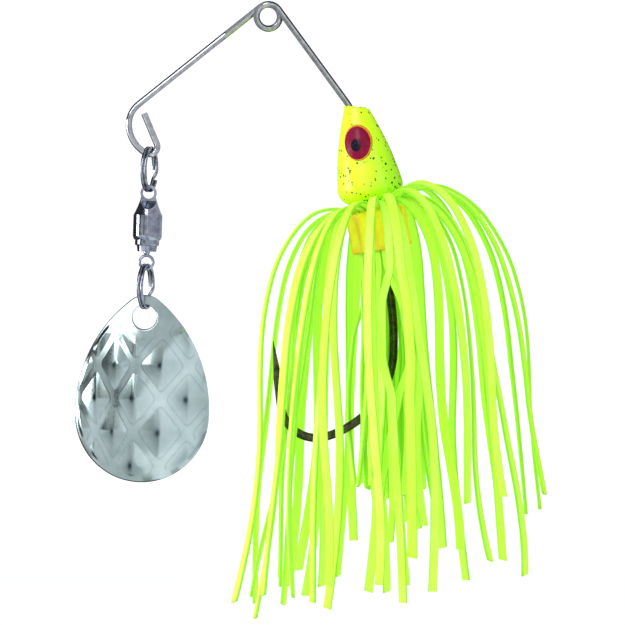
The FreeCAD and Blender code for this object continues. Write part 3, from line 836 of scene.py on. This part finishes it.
def blade(material):
    """Stamped spinner blade: dished teardrop with a rolled edge and rows of diamonds."""
    joint = next(joint for joint in frame["joints"] if joint["name"] == "blade_swing")
    hole = Vector(joint["pos_m"]) / MM
    place = Matrix.Translation(hole) @ Matrix.Rotation(CHAIN_LEAN, 4, "Y")
    reach = blade_reach()
    near = BLADE_HOLE_R + BLADE_LAND
    rows = blade_rows()
    points = []
    painted_shade = []
    for share, out, level in rows:
        for step in range(BLADE_RAYS):
            a = 2 * math.pi * step / BLADE_RAYS - math.pi
            far = reach(a) - BLADE_EDGE
            radius = near + (far - near) * share + out
            x = math.sin(a) * radius
            z = -math.cos(a) * radius
            raised, shade = stamping(x, z, radius, far)
            painted_shade.append(shade)
            points.append(place @ Vector((x, dish(x, z, BLADE_THICKNESS / 2 * level) - raised, z)))
    faces = ring_faces(len(rows), BLADE_RAYS, True)
    made = piece("spinner_blade", points, faces, "spinner", [material], {"painted_shade": painted_shade})
    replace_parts(made, "blade")


# ---- studio, in metres ---------------------------------------------------------------------------
FLOOR_DROP = 0.014
COVE_R = 3.0
COVE_CURVE_R = 1.0
COVE_CURVE_STEPS = 12
COVE_HEIGHT = 2.4
COVE_RINGS = (0.0001, 0.2, 0.6, 1.4)  # radii on the flat floor
COVE_AROUND = 96
SURROUND = ((0.42, -0.26), (0.42, 0.3), (0.10, 0.3))  # radius, and depth behind the object's centre
SURROUND_AROUND = 48
WHITE = (1, 1, 1, 1)
SKY = (0.95, 0.97, 1.0, 1)
SKY_STRENGTH = 0.7
LIGHTS = (  # name, azimuth, elevation, size, power in watts, distance
    ("key_light", -34, 38, (0.5, 0.5), 2.7, 0.7),
    ("fill_light", 48, 22, (0.4, 0.6), 0.5, 0.7),
    ("strip_light", -84, 0, (0.13, 0.2), 0.8, 0.4),
    ("rim_light", 150, 40, (0.5, 0.4), 0.5, 0.7),
)
CARDS = (  # name, tone, azimuth, elevation, size, distance
    ("card_left", 0.01, -66, 0, (0.10, 0.9), 0.5),
    ("card_left_front", 0.01, -30, 0, (0.045, 0.6), 0.5),
    ("card_right_front", 0.02, 38, 4, (0.03, 0.7), 0.5),
    ("card_right", 0.02, 84, 0, (0.22, 0.9), 0.5),
    ("card_front", 0.85, 4, 2, (0.2, 0.5), 0.62),
    ("card_top", 0.02, 10, 82, (0.5, 0.3), 0.5),
)
FLOOR_CARDS = (("card_floor_front", 0.62, -0.235), ("card_floor_back", 0.06, 0.215))  # name, tone, depth
FLOOR_CARD_SIZE = (0.9, 0.45)
BETWEEN_CARDS = (  # name, tone, height and size of the cards that stand between the blade and the skirt
    ("card_between_high", 0.42, -0.012, (0.4, 0.054)),
    ("card_between", 0.72, -0.069, (0.4, 0.058)),
)
BETWEEN_X = 0.225  # share of the way from the line tie to the object's left end
BETWEEN_FORWARD = 0.17


def bare_object(name, points, faces, material):
    """A mesh in the scene that rides on nothing; points in metres."""
    mesh = bpy.data.meshes.new(name)
    mesh.from_pydata(points, [], faces)
    mesh.materials.append(material)
    made = bpy.data.objects.new(name, mesh)
    bpy.context.scene.collection.objects.link(made)
    return made


def cove_finish():
    """White near the object, fading into its own light far out, brighter behind than in front."""
    finish = Finish("studio_white", Roughness=0.7, Emission_Color=WHITE)
    finish.material.cycles.emission_sampling = "NONE"
    distance = finish.node("ShaderNodeVectorMath", {0: finish.place, 1: (0, 0, 0)}, operation="DISTANCE")
    offset = distance.outputs["Value"]
    grain = finish.noise(14.0, 3.0)
    pale = finish.mix(grain, (0.80, 0.80, 0.80, 1), (0.84, 0.84, 0.84, 1))
    finish.colour(finish.mix(finish.spread(offset, 0.2, 0.9), pale, (0.16, 0.16, 0.16, 1)))
    near = finish.spread(offset, 0.12, 0.9, 0.3, 1.0)
    behind = finish.spread(finish.along("Y"), -1.0, 1.0, 0.42, 0.93)
    finish.link(finish.maths("MULTIPLY", near, behind), finish.shader.inputs["Emission Strength"])
    finish.bump(grain, 0.02, 0.1)
    return finish.material


def cove(low, centre):
    """Pale round floor that curves up into a wall beyond every camera place."""
    profile = [(radius, 0.0) for radius in COVE_RINGS]
    for step in range(COVE_CURVE_STEPS + 1):
        a = math.pi / 2 * step / COVE_CURVE_STEPS
        profile.append((COVE_R - COVE_CURVE_R * (1 - math.sin(a)), COVE_CURVE_R * (1 - math.cos(a))))
    profile.append((COVE_R, COVE_HEIGHT))
    points = []
    for radius, height in profile:
        for step in range(COVE_AROUND):
            a = 2 * math.pi * step / COVE_AROUND
            points.append((radius * math.cos(a), radius * math.sin(a), height))
    floor = bare_object("studio_cove", points, ring_faces(len(profile), COVE_AROUND, False), cove_finish())
    floor.data.shade_smooth()
    floor.location = (centre.x, centre.y, low.z - FLOOR_DROP)


def aim(thing, azimuth, elevation, distance, centre):
    """Put a card or light round the object, facing it; azimuth 0 is the camera's side, + is its right."""
    a = math.radians(azimuth)
    e = math.radians(elevation)
    away = Vector((math.sin(a) * math.cos(e), -math.cos(a) * math.cos(e), math.sin(e)))
    thing.location = centre + away * distance
    thing.rotation_mode = "QUATERNION"
    thing.rotation_quaternion = away.to_track_quat("Z", "Y")


def card_finish(name, tone):
    """Matt card, slightly cloudy and slightly cool."""
    finish = Finish(name, Roughness=1.0, Specular_IOR_Level=0.0)
    cloud = finish.noise(40.0, 2.0)
    finish.colour(finish.mix(cloud, (tone * 0.9, tone * 0.9, tone * 0.92, 1), (tone, tone, tone * 1.04, 1)))
    return finish.material


def only_reflected(made):
    """Leaves an object to reflections alone, as cards that a product studio keeps out of the picture."""
    for ray in ("camera", "diffuse", "shadow", "transmission", "volume_scatter"):
        setattr(made, "visible_" + ray, False)


def card(name, tone, size, upright=False):
    """Flat card seen only in reflections: square to Z, or to X where it is upright."""
    half = (size[0] / 2, size[1] / 2)
    corners = [(-half[0], -half[1]), (half[0], -half[1]), (half[0], half[1]), (-half[0], half[1])]
    points = [(0, a, b) if upright else (a, b, 0) for a, b in corners]
    made = bare_object(name, points, [(0, 1, 2, 3)], card_finish(name, tone))
    only_reflected(made)
    return made


def dark_surround(centre):
    """Dark ring far round the backdrop, seen only in reflections: it draws the edges of bright metal."""
    points = []
    for radius, depth in SURROUND:
        for step in range(SURROUND_AROUND):
            a = 2 * math.pi * step / SURROUND_AROUND
            points.append(centre + Vector((radius * math.cos(a), depth, radius * math.sin(a))))
    faces = ring_faces(len(SURROUND), SURROUND_AROUND, False)
    only_reflected(bare_object("dark_surround", points, faces, card_finish("dark_surround", 0.05)))


def softbox(name, size, power):
    """Plain rectangular studio light that the camera doesn't see."""
    light = bpy.data.lights.new(name, "AREA")
    light.shape = "RECTANGLE"
    light.size, light.size_y = size
    light.energy = power
    made = bpy.data.objects.new(name, light)
    made.visible_camera = False
    bpy.context.scene.collection.objects.link(made)
    return made


def studio():
    """Cove, soft lights, sky, and the cards that the metal mirrors."""
    low, high = CAD_BOX
    centre = (low + high) / 2
    cove(low, centre)
    for name, azimuth, elevation, size, power, distance in LIGHTS:
        aim(softbox(name, size, power), azimuth, elevation, distance, centre)
    dark_surround(centre)
    for name, tone, azimuth, elevation, size, distance in CARDS:
        aim(card(name, tone, size), azimuth, elevation, distance, centre)
    for name, tone, depth in FLOOR_CARDS:
        card(name, tone, FLOOR_CARD_SIZE).location = (centre.x, depth, low.z - FLOOR_DROP / 2)
    for name, tone, height, size in BETWEEN_CARDS:
        at = (low.x * BETWEEN_X, centre.y - BETWEEN_FORWARD, height)
        card(name, tone, size, upright=True).location = at
    world = bpy.data.worlds.new("studio_sky")
    world.use_nodes = True
    background = world.node_tree.nodes["Background"]
    background.inputs["Color"].default_value = SKY
    background.inputs["Strength"].default_value = SKY_STRENGTH
    bpy.context.scene.world = world
    bpy.context.scene.view_settings.view_transform = "Standard"


# ---- camera --------------------------------------------------------------------------------------
LENS = 300.0
SENSOR = 36.0
VIEW_WIDTH = 87.5  # of the frame at the lure
VIEW_CENTRE = (6.12, -41.43)  # X and Z
CLIP_START = 0.02  # metres, as is the next
CLIP_END = 20.0


def camera():
    """Long lens straight at the lure's side, as wide as the frame needs."""
    data = bpy.data.cameras.new("camera")
    data.lens = LENS
    data.sensor_width = SENSOR
    data.clip_start = CLIP_START
    data.clip_end = CLIP_END
    made = bpy.data.objects.new("camera", data)
    distance = VIEW_WIDTH * LENS / SENSOR
    made.location = Vector((VIEW_CENTRE[0], -distance, VIEW_CENTRE[1])) * MM
    made.rotation_euler = (math.pi / 2, 0, 0)
    bpy.context.scene.collection.objects.link(made)
    bpy.context.scene.camera = made


# ---- the whole lure ------------------------------------------------------------------------------
METALS = (  # name, darker and lighter tone, roughness, size of the grain, CAD nodes
    ("stainless_wire", (172, 176, 182), (212, 215, 220), (0.05, 0.12), 0.09, ("wire_frame",)),
    ("black_nickel", (58, 52, 52), (104, 96, 94), (0.2, 0.34), 0.12, ("hook",)),
    ("ring_wire", (120, 126, 140), (176, 182, 194), (0.08, 0.18), 0.07,
     ("upper_split_ring", "lower_split_ring")),
    ("nickel_swivel", (128, 136, 154), (184, 192, 206), (0.06, 0.13), 0.1,
     ("swivel_barrel", "swivel_cap", "swivel_shaft")),
    ("bearing_steel", (150, 150, 150), (190, 190, 192), (0.06, 0.12), 0.08, ("swivel_balls",)),
)


def main():
    paint = painted_head()
    eye_materials = [iris(), pupil(), eye_rim()]
    repaint(paint, "lead_head")
    for name, dark, light, roughness, grain, nodes in METALS:
        repaint(metal(name, rgb(*dark), rgb(*light), roughness, grain), *nodes)
    for side, name in ((-1, "left_eye"), (1, "right_eye")):
        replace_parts(eye_face(side, name + "_face", eye_materials), name)
    paint_crust(paint)
    collar(amber_rubber())
    skirt(silicone())
    blade(stamped_nickel())
    studio()
    camera()


main()
